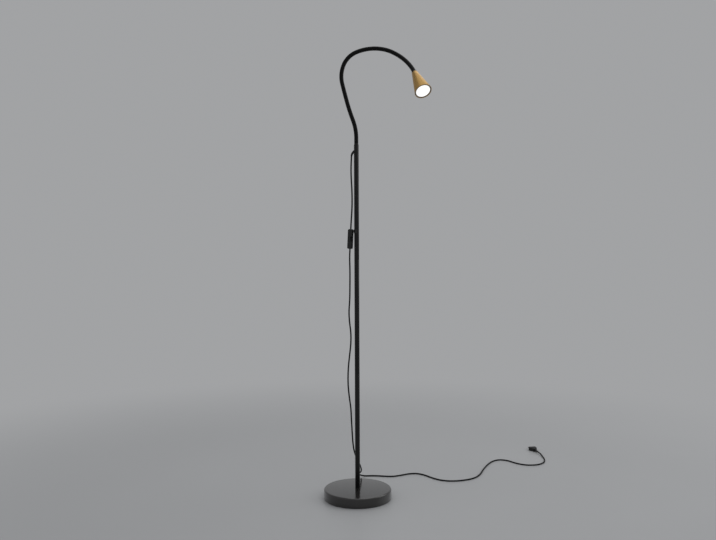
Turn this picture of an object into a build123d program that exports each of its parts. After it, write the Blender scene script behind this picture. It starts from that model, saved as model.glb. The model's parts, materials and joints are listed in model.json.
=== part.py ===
"""Gooseneck reading floor lamp: round weighted foot, thin pole, bendable neck, small conical spot.

Millimetres. +Z is up, +X is to the right and -Y faces the reader. The origin is the middle of the
foot's underside, on the floor.
"""

from build123d import *
from math import cos, hypot, pi, radians, sin, sqrt, tan
import os

os.makedirs("parts", exist_ok=True)

# ---------------------------------------------------------------- driving dimensions
# Foot
foot_diameter = 222.0
foot_height = 32.0
foot_lift = 1.0
cover_wall = 1.2
cover_edge_radius = 5.0
pad_thickness = 2.0
weight_gap = 1.2
weight_thickness = 12.0
weight_edge_radius = 2.0
boss_diameter = 46.0
boss_root_radius = 5.0
well_diameter = 34.0
well_depth = 10.0
bolt_diameter = 10.0
bolt_hole_play = 0.3
bolt_grip = 15.0
bolt_head_flats = 17.0
bolt_head_height = 6.4
washer_diameter = 30.0
washer_thickness = 2.0
bolt_tip_chamfer = 1.0

# Pole
pole_diameter = 16.0
pole_wall = 1.0
pole_top = 1156.5
pole_names = ("pole_lower", "pole_middle", "pole_upper")
joiner_reach = 22.0
joiner_bore = 8.0
joiner_groove = 1.2
joiner_chamfer = 0.8
foot_bush_length = 20.0
foot_bush_chamfer = 0.6
fit_play = 0.05

# Cord and its way out of the pole
cord_diameter = 5.0
relief_diameter = 8.0
relief_tip_diameter = 6.2
relief_drop = 21.5
relief_out = 10.5
relief_in = 4.5
relief_fall = 45.0
relief_tail_out = 16.0
relief_tail_drop = 12.4

# Neck
neck_diameter = 13.5
neck_collar_height = 8.0
neck_collar_edge = 1.5
neck_spigot_length = 10.0
neck_spigot_bore = 10.6
neck_spigot_roof = 1.0
neck_start = 25.0
neck_link_length = 62.0
neck_link_turns = (-20.6, 5.4, 1.7, 35.6, 45.6, 22.6, 36.4, 20.1, 18.8)
neck_roll_link = 6
neck_roll = -34.5
neck_seat_play = 0.2
neck_bore = 4.8
lead_diameter = 4.2
lead_end_gap = 0.6

# Head
ferrule_diameter = 17.0
ferrule_length = 5.0
ferrule_chamfer = 0.8
ferrule_play = 0.15
shell_length = 90.0
shell_back_diameter = 19.0
shell_half_angle = 11.3
shell_wall = 1.2
shell_back_wall = 2.0
shell_back_radius = 1.4
shell_rim_radius = 0.45
nipple_diameter = 8.0
nipple_bore = 5.4
nipple_in_neck = 10.0
nut_flats = 12.0
nut_height = 4.0
bracket_depth = 12.0
bracket_strip = 1.2
bracket_width = 9.0
bracket_half_span = 9.2
bracket_lip = 0.7
bracket_leg = 9.5
holder_diameter = 24.0
holder_height = 18.0
pin_spacing = 10.0
pin_neck_diameter = 3.0
pin_foot_diameter = 5.0
pin_foot_height = 2.6
pin_length = 7.4
pin_hole_play = 0.4
pin_twist_travel = 3.0
screw_diameter = 3.0
screw_head_diameter = 5.4
screw_head_height = 1.8
screw_offset = 6.4
screw_seat_height = 7.0
screw_tail = 1.0
bulb_diameter = 50.0
bulb_length = 50.0
bulb_base_diameter = 19.0
bulb_base_height = 8.0
bulb_base_taper = 0.8
bulb_waist_diameter = 33.0
bulb_waist_height = 23.0
bulb_shoulder_height = 2.0
bulb_shoulder_step = 0.6
bulb_rim_height = 3.4
bulb_lip = 1.6
lens_thickness = 2.4
lens_recess = 0.6
lens_edge_radius = 0.8
wire_diameter = 1.6
wire_spacing = 2.0
wire_in_holder = 3.0

# In-line switch on the cord, and the clip that ties it to the pole
switch_length = 65.0
switch_width = 16.5
switch_depth = 14.5
switch_corner_radius = 6.0
switch_end_radius = 4.0
switch_wall = 1.6
switch_center = (-20.65, 0.0, 850.5)
switch_lean = 2.68
switch_facing = 30.0
window_width = 8.6
window_corner_radius = 0.8
rocker_play = 0.3
rocker_pivot_depth = 3.6
rocker_half_length = 5.6
rocker_dish = 10.0
rocker_tilt = 10.0
rocker_flank = 0.9
rocker_keel = 1.9
rocker_pin_diameter = 2.4
rocker_pin_reach = 0.8
rocker_pin_play = 0.1
pivot_post_width = 5.4
pivot_post_thickness = 2.0
switch_boss_diameter = 4.4
switch_boss_place = (21.0, 4.2)
switch_screw_diameter = 2.2
switch_screw_head = 4.0
switch_screw_sink = 2.0
switch_screw_head_height = 1.2
switch_screw_tail = 1.0
contact_thickness = 0.8
contact_width = 3.4
contact_length = 12.0
contact_spacing = 20.0
clip_height = 12.0
clip_wall = 1.6
clip_level = 875.5
clip_mouth = 150.0
clip_arm_height = 5.0
clip_arm_width = 6.0

# Flat two-pin plug
plug_length = 38.0
plug_width = 34.0
plug_face_width = 26.0
plug_tail_width = 13.0
plug_thickness = 13.0
plug_shoulder = 27.4
plug_face_radius = 2.4
plug_edge_radius = 3.0
plug_relief_length = 24.0
plug_relief_diameter = 9.0
plug_relief_lip = 0.5
plug_pin_diameter = 4.0
plug_pin_length = 19.0
plug_pin_tip_radius = 1.6
plug_pin_spacing = 18.2
plug_sleeve_length = 10.0
plug_sleeve_diameter = 3.8
plug_sleeve_wall = 0.4
pin_root_depth = 4.0

# Extra depth of a cut that goes right through
through = 1.0

# Points that the cord follows, chosen along its route in the photograph
cord_upper_route = [
    (-16.0, 0.0, 1122.6),
    (-17.9, 0.0, 1086.5),
    (-17.2, -2.5, 1049.5),
    (-14.8, -5.8, 1009.5),
    (-14.3, -6.4, 967.5),
    (-15.8, -4.4, 934.5),
    (-18.02, 0.0, 906.5),
    (-19.13, 0.0, 882.96),
]
cord_lower_route = [
    (-22.17, 0.0, 818.04),
    (-23.57, 0.0, 788.0),
    (-22.4, 2.0, 744.5),
    (-22.8, 0.5, 694.5),
    (-23.4, -2.0, 649.5),
    (-26.6, -1.0, 612.5),
    (-24.8, 1.5, 577.5),
    (-20.0, 2.0, 542.5),
    (-20.2, 0.0, 506.5),
    (-24.6, -2.0, 469.5),
    (-29.6, -1.0, 424.5),
    (-30.6, 2.0, 374.5),
    (-26.8, 4.0, 332.5),
    (-21.0, 6.0, 292.5),
    (-19.6, 10.0, 252.5),
    (-17.6, 19.0, 213.5),
    (-15.8, 34.0, 175.5),
    (-12.0, 55.0, 139.5),
    (-2.0, 85.0, 104.0),
    (8.5, 120.0, 73.5),
    (13.0, 152.0, 51.0),
    (12.5, 181.0, 33.0),
    (4.5, 199.1, 22.3),
    (4.5, 213.4, 13.9),
    (12.8, 225.8, 6.7),
    (27.2, 233.0, 2.5),
    (46.0, 235.5, 2.5),
    (68.0, 234.5, 2.5),
    (94.0, 229.0, 2.5),
    (125.5, 224.0, 2.5),
    (158.0, 240.0, 2.5),
    (189.5, 259.5, 2.5),
    (218.5, 261.5, 2.5),
    (244.0, 241.0, 2.5),
    (265.5, 208.0, 2.5),
    (293.5, 176.5, 2.5),
    (334.0, 165.5, 2.5),
    (379.0, 176.5, 2.5),
    (419.5, 201.5, 2.5),
    (446.5, 246.5, 2.5),
    (466.0, 303.0, 2.5),
    (489.0, 357.5, 2.5),
    (517.5, 412.5, 2.5),
    (551.0, 443.0, 2.5),
    (585.5, 430.5, 2.5),
    (609.5, 388.0, 2.5),
    (644.0, 362.0, 2.5),
    (685.5, 366.0, 2.5),
    (718.0, 394.0, 2.5),
    (733.5, 440.0, 2.5),
    (736.5, 483.5, 2.5),
    (737.0, 503.5, 4.2),
    (735.0, 522.5, 6.5),
    (732.0, 541.5, 6.5),
]

# ---------------------------------------------------------------- sizes that follow
foot_radius = foot_diameter / 2
cover_inner_radius = foot_radius - cover_wall
cover_ceiling = foot_height - cover_wall
weight_radius = cover_inner_radius - weight_gap
well_ceiling = pad_thickness + well_depth
pole_radius = pole_diameter / 2
pole_bore_radius = pole_radius - pole_wall
pole_section_length = (pole_top - foot_height) / len(pole_names)
neck_radius = neck_diameter / 2
cord_radius = cord_diameter / 2
lead_radius = lead_diameter / 2


def save(piece, name):
    """Names a finished piece and writes it."""
    piece.part.label = name
    export_step(piece.part, f"parts/{name}.step")


def profile_plane(place):
    """The plane through a location's own Z axis: local X is across the axis, local Y along it."""
    return Plane(origin=place.origin, x_dir=place.x_dir, z_dir=-place.y_dir)


def corner_radii(route):
    """The largest even radius for each corner of a cord's route."""
    points = [Vector(*point) for point in route]
    radii = []
    for before, corner, after in zip(points, points[1:], points[2:]):
        run_in = corner - before
        run_out = after - corner
        turn = radians(run_in.get_angle(run_out))
        radii.append(0.45 * min(run_in.length, run_out.length) / tan(turn / 2))
    return radii


# ---------------------------------------------------------------- foot
with BuildPart() as foot_cover:
    with BuildSketch(Plane.XY.offset(foot_lift)):
        Circle(foot_radius)
    extrude(amount=foot_height - foot_lift)
    fillet(foot_cover.edges().sort_by(Axis.Z)[-1], cover_edge_radius)
    offset(amount=-cover_wall, openings=foot_cover.faces().sort_by(Axis.Z)[0])
    with BuildSketch(Plane.XY.offset(cover_ceiling - cover_wall)):
        Circle(bolt_diameter / 2 + bolt_hole_play)
    extrude(amount=3 * cover_wall, mode=Mode.SUBTRACT)
save(foot_cover, "foot_cover")

with BuildPart() as foot_weight:
    with BuildSketch(Plane.XY.offset(pad_thickness)):
        Circle(weight_radius)
    extrude(amount=weight_thickness)
    fillet(foot_weight.edges().sort_by(Axis.Z)[-1], weight_edge_radius)
    with BuildSketch(Plane.XY.offset(pad_thickness + weight_thickness)):
        Circle(boss_diameter / 2)
    extrude(amount=cover_ceiling - pad_thickness - weight_thickness)
    boss_root = foot_weight.edges().filter_by(GeomType.CIRCLE).filter_by(
        lambda edge: abs(edge.radius - boss_diameter / 2) < 0.01
    )
    fillet(boss_root.sort_by(Axis.Z)[0], boss_root_radius)
    with BuildSketch(Plane.XY.offset(pad_thickness)):
        Circle(well_diameter / 2)
    extrude(amount=well_depth, mode=Mode.SUBTRACT)
    with BuildSketch(Plane.XY.offset(well_ceiling)):
        Circle(bolt_diameter / 2 + bolt_hole_play)
    extrude(amount=cover_ceiling - well_ceiling, mode=Mode.SUBTRACT)
save(foot_weight, "foot_weight")

with BuildPart() as foot_pad:
    with BuildSketch(Plane.XY):
        Circle(weight_radius)
    extrude(amount=pad_thickness)
save(foot_pad, "foot_pad")

with BuildPart() as foot_washer:
    with BuildSketch(Plane.XY.offset(well_ceiling - washer_thickness)):
        Circle(washer_diameter / 2)
        Circle(bolt_diameter / 2 + bolt_hole_play, mode=Mode.SUBTRACT)
    extrude(amount=washer_thickness)
save(foot_washer, "foot_washer")

bolt_seat = well_ceiling - washer_thickness
with BuildPart() as foot_bolt:
    with BuildSketch(Plane.XY.offset(bolt_seat)):
        Circle(bolt_diameter / 2)
    extrude(amount=foot_height + bolt_grip - bolt_seat)
    chamfer(foot_bolt.edges().sort_by(Axis.Z)[-1], bolt_tip_chamfer)
    with BuildSketch(Plane.XY.offset(bolt_seat)):
        RegularPolygon(bolt_head_flats / 2, 6, major_radius=False)
    extrude(amount=-bolt_head_height)
save(foot_bolt, "foot_bolt")

# ---------------------------------------------------------------- pole
with BuildPart() as foot_bush:
    with BuildSketch(Plane.XY.offset(foot_height)):
        Circle(pole_bore_radius - fit_play)
        Circle(bolt_diameter / 2 + fit_play, mode=Mode.SUBTRACT)
    extrude(amount=foot_bush_length)
    chamfer(foot_bush.edges().group_by(Axis.Z)[-1], foot_bush_chamfer)
save(foot_bush, "foot_bush")

# The cord's gland goes through the pole's left wall on a slant
gland_direction = Vector(-cos(radians(relief_fall)), 0, -sin(radians(relief_fall)))
gland_mouth = Vector(-relief_out, 0, pole_top - relief_drop)
relief_tip = Vector(-relief_tail_out, 0, gland_mouth.Z - relief_tail_drop)
gland_reach = (relief_out - relief_in) / cos(radians(relief_fall))
gland_start = gland_mouth - gland_direction * gland_reach

for number, name in enumerate(pole_names):
    bottom = foot_height + number * pole_section_length
    with BuildPart() as pole_section:
        with BuildSketch(Plane.XY.offset(bottom)):
            Circle(pole_radius)
            Circle(pole_bore_radius, mode=Mode.SUBTRACT)
        extrude(amount=pole_section_length)
        if name == pole_names[-1]:
            with BuildSketch(Plane(origin=gland_start, z_dir=gland_direction)):
                Circle(relief_diameter / 2 + fit_play)
            extrude(amount=2 * gland_reach, mode=Mode.SUBTRACT)
    save(pole_section, name)

for number, name in enumerate(("pole_joiner_lower", "pole_joiner_upper"), start=1):
    seam = foot_height + number * pole_section_length
    with BuildPart() as joiner:
        with BuildSketch(Plane.XY.offset(seam - joiner_reach)):
            Circle(pole_bore_radius - fit_play)
            Circle(joiner_bore / 2, mode=Mode.SUBTRACT)
        extrude(amount=2 * joiner_reach)
        with BuildSketch(Plane.XY.offset(seam - joiner_groove / 2)):
            Circle(pole_bore_radius)
            Circle(pole_bore_radius - joiner_groove, mode=Mode.SUBTRACT)
        extrude(amount=joiner_groove, mode=Mode.SUBTRACT)
        chamfer(joiner.edges().group_by(Axis.Z)[-1], joiner_chamfer)
        chamfer(joiner.edges().group_by(Axis.Z)[0], joiner_chamfer)
    save(joiner, name)

# ---------------------------------------------------------------- the cord's way into the pole
cord_upper_fall = Vector(*cord_upper_route[1]) - Vector(*cord_upper_route[0])
with BuildPart() as cord_relief:
    with BuildSketch(Plane(origin=gland_start, z_dir=gland_direction)):
        Circle(relief_diameter / 2)
    extrude(amount=gland_reach)
    with BuildLine() as relief_tail:
        TangentArc(gland_mouth, relief_tip, tangent=gland_direction)
    for share in (0, 0.25, 0.5, 0.75):
        with BuildSketch(Plane(origin=relief_tail.line @ share, z_dir=relief_tail.line % share)):
            Circle((relief_diameter + share * (relief_tip_diameter - relief_diameter)) / 2)
    with BuildSketch(Plane(origin=relief_tip, z_dir=cord_upper_fall)):
        Circle(relief_tip_diameter / 2)
    loft()
save(cord_relief, "cord_relief")

# Inside the pole the cord turns up to the neck
lead_bend_radius = relief_in / (1 - cos(radians(90 - relief_fall)))
lead_bend_top = gland_start.Z + lead_bend_radius * sin(radians(90 - relief_fall))
neck_pivot_height = pole_top + neck_start
with BuildPart() as neck_lead_start:
    with BuildLine():
        lead_bend = TangentArc(gland_start, (0, 0, lead_bend_top), tangent=-gland_direction)
        Line(lead_bend @ 1, (0, 0, neck_pivot_height - neck_radius - lead_end_gap))
    with BuildSketch(Plane(origin=gland_start, z_dir=-gland_direction)):
        Circle(lead_radius)
    sweep()
save(neck_lead_start, "neck_lead_start")

# ---------------------------------------------------------------- neck
with BuildPart() as neck_socket:
    with BuildSketch(Plane.XZ):
        with BuildLine():
            Polyline(
                (neck_bore / 2, pole_top - neck_spigot_roof),
                (neck_bore / 2, neck_pivot_height),
                (neck_radius, neck_pivot_height),
                (neck_radius, pole_top + neck_collar_height),
                (pole_radius, pole_top + neck_collar_edge),
                (pole_radius, pole_top),
                (pole_bore_radius - fit_play, pole_top),
                (pole_bore_radius - fit_play, pole_top - neck_spigot_length),
                (neck_spigot_bore / 2, pole_top - neck_spigot_length),
                (neck_spigot_bore / 2, pole_top - neck_spigot_roof),
                close=True,
            )
        make_face()
    revolve(axis=Axis.Z)
    with Locations((0, 0, neck_pivot_height)):
        Sphere(neck_radius + neck_seat_play, mode=Mode.SUBTRACT)
save(neck_socket, "neck_socket")

# Each link is a curved tube with a domed foot, which sits in the cup at the end of the link before
# it. The dome and the cup share the pivot that the link turns about.
neck_places = [Location((0, 0, neck_pivot_height))]
for number, turn in enumerate(neck_link_turns):
    roll = neck_roll if number == neck_roll_link else 0
    start_place = neck_places[-1] * Rot(0, 0, roll)
    neck_places[-1] = start_place
    bend_radius = neck_link_length / radians(turn)
    rise = bend_radius * sin(radians(turn))
    shift = bend_radius * (1 - cos(radians(turn)))
    end_place = start_place * Pos(shift, 0, rise) * Rot(0, turn, 0)
    neck_places.append(end_place)
    seat = Plane(start_place)
    end_seat = Plane(end_place)
    last_link = number == len(neck_link_turns) - 1
    with BuildPart() as neck_link:
        with BuildLine():
            link_arc = TangentArc(seat.origin, end_seat.origin, tangent=seat.z_dir)
        with BuildSketch(seat):
            Circle(neck_radius)
            Circle(neck_bore / 2, mode=Mode.SUBTRACT)
        sweep(path=link_arc)
        with Locations(start_place):
            Sphere(
                neck_radius,
                arc_size1=-90,
                arc_size2=0,
                align=(Align.CENTER, Align.CENTER, Align.MAX),
            )
        with BuildSketch(seat):
            Circle(neck_bore / 2)
        extrude(amount=-neck_radius - through, mode=Mode.SUBTRACT)
        if last_link:
            with BuildSketch(end_seat):
                Circle(nipple_diameter / 2)
            extrude(amount=-nipple_in_neck, mode=Mode.SUBTRACT)
        else:
            with Locations(end_place):
                Sphere(neck_radius + neck_seat_play, mode=Mode.SUBTRACT)
    save(neck_link, f"neck_link_{number + 1}")
    # The stretch of lead inside this link
    lead_end_share = 1.0 if last_link else 1 - (neck_radius + lead_end_gap) / neck_link_length
    with BuildPart() as neck_lead:
        with BuildLine():
            add(link_arc.trim(0, lead_end_share))
        with BuildSketch(seat):
            Circle(lead_radius)
        sweep()
        with BuildSketch(seat):
            Circle(lead_radius)
        extrude(amount=2 * lead_end_gap - neck_radius)
        if last_link:
            with BuildSketch(end_seat):
                Circle(lead_radius)
            extrude(amount=bracket_depth - bracket_strip)
    save(neck_lead, f"neck_lead_{number + 1}")

# ---------------------------------------------------------------- head
head_seat = Plane(neck_places[-1])
head_profile = profile_plane(head_seat)
head_axis = Axis(head_seat.origin, head_seat.z_dir)
shell_slope = tan(radians(shell_half_angle))


def shell_radius(depth):
    """Outer radius of the conical shell at a depth from its closed end."""
    return shell_back_diameter / 2 + shell_slope * depth


with BuildPart() as neck_ferrule:
    with BuildSketch(head_seat.offset(-ferrule_length)):
        Circle(ferrule_diameter / 2)
        Circle(neck_radius + ferrule_play, mode=Mode.SUBTRACT)
    extrude(amount=ferrule_length)
    ferrule_edges = neck_ferrule.edges().filter_by(GeomType.CIRCLE).sort_by_distance(head_seat.origin)
    chamfer(ferrule_edges[-1], ferrule_chamfer)
save(neck_ferrule, "neck_ferrule")

inner_step = shell_wall * sqrt(1 + shell_slope**2)
with BuildPart() as head_shell:
    with BuildSketch(head_profile):
        with BuildLine():
            Polyline(
                (nipple_diameter / 2 + fit_play, 0),
                (shell_radius(0), 0),
                (shell_radius(shell_length), shell_length),
                (shell_radius(shell_length) - inner_step, shell_length),
                (shell_radius(shell_back_wall) - inner_step, shell_back_wall),
                (nipple_diameter / 2 + fit_play, shell_back_wall),
                close=True,
            )
        make_face()
    revolve(axis=head_axis)
    back_edge = head_shell.edges().filter_by(GeomType.CIRCLE).sort_by_distance(head_seat.origin)
    back_edge = [edge for edge in back_edge if abs(edge.radius - shell_radius(0)) < 0.01]
    fillet(back_edge[0], shell_back_radius)
    rim_edges = [
        edge
        for edge in head_shell.edges().filter_by(GeomType.CIRCLE)
        if edge.radius > shell_radius(shell_length) - inner_step - 0.01
    ]
    fillet(rim_edges, shell_rim_radius)
save(head_shell, "head_shell")

nut_depths = (shell_back_wall, bracket_depth - nut_height, bracket_depth + bracket_strip)
nipple_end = bracket_depth + bracket_strip + nut_height
with BuildPart() as head_nipple:
    with BuildSketch(head_seat.offset(-nipple_in_neck)):
        Circle(nipple_diameter / 2)
        Circle(nipple_bore / 2, mode=Mode.SUBTRACT)
    extrude(amount=nipple_in_neck + nipple_end)
save(head_nipple, "head_nipple")

with BuildPart() as nipple_nuts:
    for depth in nut_depths:
        with BuildSketch(head_seat.offset(depth)):
            RegularPolygon(nut_flats / 2, 6, major_radius=False)
            Circle(nipple_diameter / 2 + fit_play, mode=Mode.SUBTRACT)
        extrude(amount=nut_height)
save(nipple_nuts, "nipple_nuts")

holder_back = bracket_depth + bracket_leg
holder_front = holder_back + holder_height
bracket_foot_edge = screw_offset - screw_diameter / 2 - bracket_lip
with BuildPart() as holder_bracket:
    with BuildSketch(head_profile):
        with BuildLine():
            Polyline(
                (bracket_foot_edge, holder_back),
                (bracket_half_span, holder_back),
                (bracket_half_span, bracket_depth),
                (-bracket_half_span, bracket_depth),
                (-bracket_half_span, holder_back),
                (-bracket_foot_edge, holder_back),
                (-bracket_foot_edge, holder_back - bracket_strip),
                (bracket_strip - bracket_half_span, holder_back - bracket_strip),
                (bracket_strip - bracket_half_span, bracket_depth + bracket_strip),
                (bracket_half_span - bracket_strip, bracket_depth + bracket_strip),
                (bracket_half_span - bracket_strip, holder_back - bracket_strip),
                (bracket_foot_edge, holder_back - bracket_strip),
                close=True,
            )
        make_face()
    extrude(amount=bracket_width / 2, both=True)
    with BuildSketch(head_seat.offset(bracket_depth - bracket_strip)):
        Circle(nipple_diameter / 2 + fit_play)
    extrude(amount=3 * bracket_strip, mode=Mode.SUBTRACT)
    with BuildSketch(head_seat.offset(holder_back - 2 * bracket_strip)):
        with Locations((screw_offset, 0), (-screw_offset, 0)):
            Circle(screw_diameter / 2 + fit_play)
    extrude(amount=3 * bracket_strip, mode=Mode.SUBTRACT)
save(holder_bracket, "holder_bracket")

pin_places = [(0, pin_spacing / 2), (0, -pin_spacing / 2)]
screw_places = [(screw_offset, 0), (-screw_offset, 0)]
pin_well_depth = pin_length + pin_hole_play
screw_well_depth = holder_height - screw_seat_height
screw_end = holder_back - bracket_strip - screw_tail
with BuildPart() as bulb_holder:
    with BuildSketch(head_seat.offset(holder_back)):
        Circle(holder_diameter / 2)
    extrude(amount=holder_height)
    with BuildSketch(head_seat.offset(holder_front)):
        with Locations(*pin_places):
            SlotCenterToCenter(pin_twist_travel, pin_foot_diameter + 2 * pin_hole_play)
    extrude(amount=-pin_well_depth, mode=Mode.SUBTRACT)
    with BuildSketch(head_seat.offset(holder_front)):
        with Locations(*screw_places):
            Circle(screw_head_diameter / 2 + pin_hole_play)
    extrude(amount=-screw_well_depth, mode=Mode.SUBTRACT)
    with BuildSketch(head_seat.offset(holder_back)):
        with Locations(*screw_places):
            Circle(screw_diameter / 2 + fit_play)
        Circle(nipple_bore / 2)
    extrude(amount=holder_height - screw_well_depth, mode=Mode.SUBTRACT)
save(bulb_holder, "bulb_holder")

with BuildPart() as holder_screws:
    with BuildSketch(head_seat.offset(screw_end)):
        with Locations(*screw_places):
            Circle(screw_diameter / 2)
    extrude(amount=holder_front - screw_well_depth - screw_end)
    with BuildSketch(head_seat.offset(holder_front - screw_well_depth)):
        with Locations(*screw_places):
            Circle(screw_head_diameter / 2)
    extrude(amount=screw_head_height)
save(holder_screws, "holder_screws")

with BuildPart() as holder_wires:
    with BuildSketch(head_seat.offset(bracket_depth - bracket_strip)):
        with Locations((0, wire_spacing / 2), (0, -wire_spacing / 2)):
            Circle(wire_diameter / 2)
    extrude(amount=holder_back + wire_in_holder - bracket_depth + bracket_strip)
save(holder_wires, "holder_wires")

bulb_front = holder_front + bulb_length
bulb_radius = bulb_diameter / 2
with BuildPart() as bulb_body:
    with BuildSketch(head_profile):
        with BuildLine():
            base = Polyline(
                (0, holder_front),
                (bulb_base_diameter / 2, holder_front),
                (bulb_base_diameter / 2 + bulb_base_taper, holder_front + bulb_base_height),
            )
            flare = ThreePointArc(
                base @ 1,
                (bulb_waist_diameter / 2, holder_front + bulb_waist_height),
                (bulb_radius - bulb_shoulder_step, bulb_front - bulb_rim_height - bulb_shoulder_height),
            )
            Polyline(
                flare @ 1,
                (bulb_radius, bulb_front - bulb_rim_height),
                (bulb_radius, bulb_front - lens_recess),
                (bulb_radius - bulb_lip, bulb_front - lens_recess),
                (bulb_radius - bulb_lip, bulb_front - lens_recess - lens_thickness),
                (0, bulb_front - lens_recess - lens_thickness),
                (0, holder_front),
            )
        make_face()
    revolve(axis=head_axis)
save(bulb_body, "bulb_body")

with BuildPart() as bulb_lens:
    with BuildSketch(head_seat.offset(bulb_front - lens_recess - lens_thickness)):
        Circle(bulb_radius - bulb_lip - fit_play)
    extrude(amount=lens_thickness)
    lens_edges = bulb_lens.edges().filter_by(GeomType.CIRCLE).sort_by_distance(head_seat.origin)
    fillet(lens_edges[-1], lens_edge_radius)
save(bulb_lens, "bulb_lens")

with BuildPart() as bulb_pins:
    with BuildSketch(head_seat.offset(holder_front)):
        with Locations(*pin_places):
            Circle(pin_neck_diameter / 2)
    extrude(amount=-pin_length)
    with BuildSketch(head_seat.offset(holder_front - pin_length)):
        with Locations(*pin_places):
            Circle(pin_foot_diameter / 2)
    extrude(amount=pin_foot_height)
save(bulb_pins, "bulb_pins")

# ---------------------------------------------------------------- in-line switch
# Local Z runs up the switch and local X points out of its rocker face.
switch_axis = Vector(sin(radians(switch_lean)), 0, cos(radians(switch_lean)))
face_direction = Vector(sin(radians(switch_facing)), -cos(radians(switch_facing)), 0)
face_direction = (face_direction - switch_axis * face_direction.dot(switch_axis)).normalized()
switch_plane = Plane(origin=Vector(*switch_center), x_dir=face_direction, z_dir=switch_axis)
front_half = Plane(origin=switch_plane.origin, x_dir=switch_axis, z_dir=face_direction)
# On the face plane, local X runs up the switch and local Y across it.

with BuildPart() as switch_block:
    with BuildSketch(switch_plane.offset(-switch_length / 2)):
        RectangleRounded(switch_depth, switch_width, switch_corner_radius)
    extrude(amount=switch_length)
    ends = switch_block.faces().filter_by(Axis(switch_plane.origin, switch_axis))
    fillet(ends.edges(), switch_end_radius)

with BuildPart() as switch_room:
    room_length = switch_length - 4 * switch_wall
    with BuildSketch(switch_plane.offset(-room_length / 2)):
        RectangleRounded(
            switch_depth - 2 * switch_wall,
            switch_width - 2 * switch_wall,
            switch_corner_radius - switch_wall,
        )
    extrude(amount=room_length)
    with BuildSketch(switch_plane.offset(-switch_length / 2)):
        Circle(cord_radius)
    extrude(amount=switch_length)

boss_points = [switch_boss_place, (-switch_boss_place[0], -switch_boss_place[1])]
face_depth = switch_depth / 2
pivot_height = face_depth - rocker_pivot_depth
rocker_width = window_width - 2 * rocker_play

with BuildPart() as switch_back:
    add(switch_block.part)
    add(switch_room.part, mode=Mode.SUBTRACT)
    with BuildSketch(front_half.offset(-face_depth + switch_wall / 2)):
        with Locations(*boss_points):
            Circle(switch_boss_diameter / 2)
    extrude(amount=face_depth)
    split(bisect_by=front_half, keep=Keep.BOTTOM)
    with BuildSketch(front_half.offset(-face_depth - through)):
        with Locations(*boss_points):
            Circle(switch_screw_diameter / 2 + fit_play)
    extrude(amount=face_depth + through, mode=Mode.SUBTRACT)
    with BuildSketch(front_half.offset(-face_depth - through)):
        with Locations(*boss_points):
            Circle(switch_screw_head / 2 + fit_play)
    extrude(amount=through + switch_screw_sink, mode=Mode.SUBTRACT)
save(switch_back, "switch_back")

# The rocker's two ends turn on one radius about its pivot, so the window is cut to that radius.
corner_height = rocker_pivot_depth + rocker_half_length * tan(radians(rocker_dish))
rocker_reach = hypot(rocker_half_length, corner_height)
window_length = 2 * (rocker_reach + rocker_play)
post_place = (window_width + pivot_post_thickness) / 2
with BuildPart() as switch_cover:
    add(switch_block.part)
    add(switch_room.part, mode=Mode.SUBTRACT)
    with BuildSketch(front_half):
        with Locations(*boss_points):
            Circle(switch_boss_diameter / 2)
    extrude(amount=face_depth - switch_wall / 2)
    with BuildSketch(front_half):
        with Locations((0, post_place), (0, -post_place)):
            Rectangle(pivot_post_width, pivot_post_thickness)
    extrude(amount=face_depth - switch_wall / 2)
    split(bisect_by=front_half, keep=Keep.TOP)
    with BuildSketch(front_half):
        RectangleRounded(window_length, window_width, window_corner_radius)
    extrude(amount=face_depth + through, mode=Mode.SUBTRACT)
    with BuildSketch(front_half):
        with Locations(*boss_points):
            Circle(switch_screw_diameter / 2 + fit_play)
    extrude(amount=face_depth - 2 * switch_wall, mode=Mode.SUBTRACT)
    with BuildSketch(Plane(origin=front_half.origin, x_dir=switch_axis, z_dir=front_half.y_dir)):
        with Locations((0, -pivot_height)):
            Circle(rocker_pin_diameter / 2 + rocker_pin_play)
    extrude(amount=window_width / 2 + rocker_pin_reach + rocker_play, both=True, mode=Mode.SUBTRACT)
save(switch_cover, "switch_cover")

screw_seat_level = switch_screw_sink - face_depth
with BuildPart() as switch_screws:
    with BuildSketch(front_half.offset(screw_seat_level - switch_screw_tail)):
        with Locations(*boss_points):
            Circle(switch_screw_diameter / 2)
    extrude(amount=face_depth + switch_screw_sink)
    with BuildSketch(front_half.offset(screw_seat_level)):
        with Locations(*boss_points):
            Circle(switch_screw_head / 2)
    extrude(amount=-switch_screw_head_height)
save(switch_screws, "switch_screws")

# The rocker is seen from its side here: local X runs up the switch, local Y towards its face.
pivot_point = front_half.origin + face_direction * pivot_height
rocker_side = Plane(origin=pivot_point, x_dir=switch_axis, z_dir=switch_axis.cross(face_direction))
rocker_side = Plane(Location(rocker_side) * Rot(0, 0, rocker_tilt))
flank_reach = sqrt(rocker_reach**2 - rocker_flank**2)
with BuildPart() as switch_rocker:
    with BuildSketch(rocker_side):
        with BuildLine():
            right = RadiusArc(
                (rocker_half_length, corner_height),
                (flank_reach, rocker_flank),
                rocker_reach,
            )
            keel = Line(right @ 1, (0, -rocker_keel))
            keel_left = Line(keel @ 1, (-flank_reach, rocker_flank))
            left = RadiusArc(keel_left @ 1, (-rocker_half_length, corner_height), rocker_reach)
            Polyline(left @ 1, (0, rocker_pivot_depth), right @ 0)
        make_face()
    extrude(amount=rocker_width / 2, both=True)
    with BuildSketch(rocker_side):
        Circle(rocker_pin_diameter / 2)
    extrude(amount=rocker_width / 2 + rocker_play + rocker_pin_reach, both=True)
save(switch_rocker, "switch_rocker")

with BuildPart() as switch_contacts:
    with BuildSketch(front_half.offset(switch_wall - face_depth)):
        with Locations((contact_spacing / 2, 0), (-contact_spacing / 2, 0)):
            Rectangle(contact_length, contact_width)
    extrude(amount=contact_thickness)
save(switch_contacts, "switch_contacts")

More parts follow.
